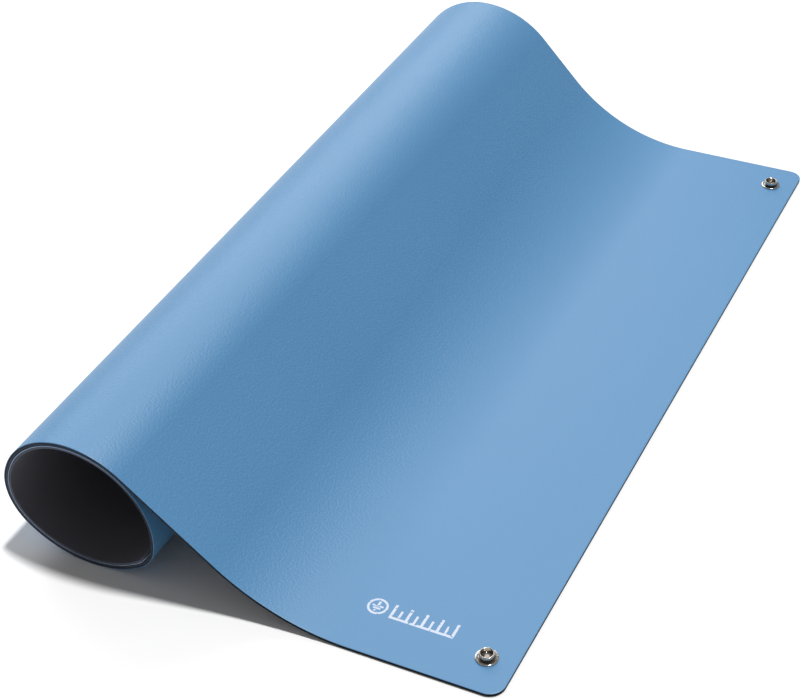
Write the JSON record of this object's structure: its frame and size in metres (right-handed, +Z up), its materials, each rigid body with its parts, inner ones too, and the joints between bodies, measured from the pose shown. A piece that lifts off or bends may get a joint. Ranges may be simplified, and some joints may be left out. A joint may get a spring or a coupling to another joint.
{
  "type": "rolled bench mat",
  "caption": "Two-layer rubber bench mat, part rolled up with a flat free end, and a snap stud at both corners of the free edge.",
  "frame": {"origin": "on the bench, under the middle of the whole mat's box", "axes": "+X across the sheet towards the free edge, +Y along the roll's axis, +Z up from the bench"},
  "size_m": [0.3288, 0.6, 0.0985],
  "materials": {
    "blue_rubber": "matte, finely pebbled",
    "black_rubber": "matte",
    "nickel": "nickel plated, polished"
  },
  "bodies": {
    "rolled": {"base_rolled": "black_rubber", "surface_rolled": "blue_rubber"},
    "strip_1": {"base_strip_1": "black_rubber", "surface_strip_1": "blue_rubber"},
    "strip_2": {"base_strip_2": "black_rubber", "surface_strip_2": "blue_rubber"},
    "flap": {"base_flap": "black_rubber", "surface_flap": "blue_rubber", "snap_stud_near": "nickel", "snap_stud_far": "nickel", "snap_eyelet_near": "nickel", "snap_eyelet_far": "nickel"}
  },
  "joints": [
    {"name": "curl_1", "type": "hinge", "parent": "rolled", "child": "strip_1", "pos_m": [0.07145, 0, 0.002], "axis": [0, -1, 0], "range_deg": [0, 30], "stiffness_Nm_per_rad": 0.08},
    {"name": "curl_2", "type": "hinge", "parent": "strip_1", "child": "strip_2", "pos_m": [0.09545, 0, 0.002], "axis": [0, -1, 0], "range_deg": [0, 30], "stiffness_Nm_per_rad": 0.08},
    {"name": "curl_3", "type": "hinge", "parent": "strip_2", "child": "flap", "pos_m": [0.11945, 0, 0.002], "axis": [0, -1, 0], "range_deg": [0, 30], "stiffness_Nm_per_rad": 0.08}
  ],
  "couplings": [
    {"joint": "curl_2", "follows": "curl_1", "ratio": 1},
    {"joint": "curl_3", "follows": "curl_1", "ratio": 1}
  ]
}
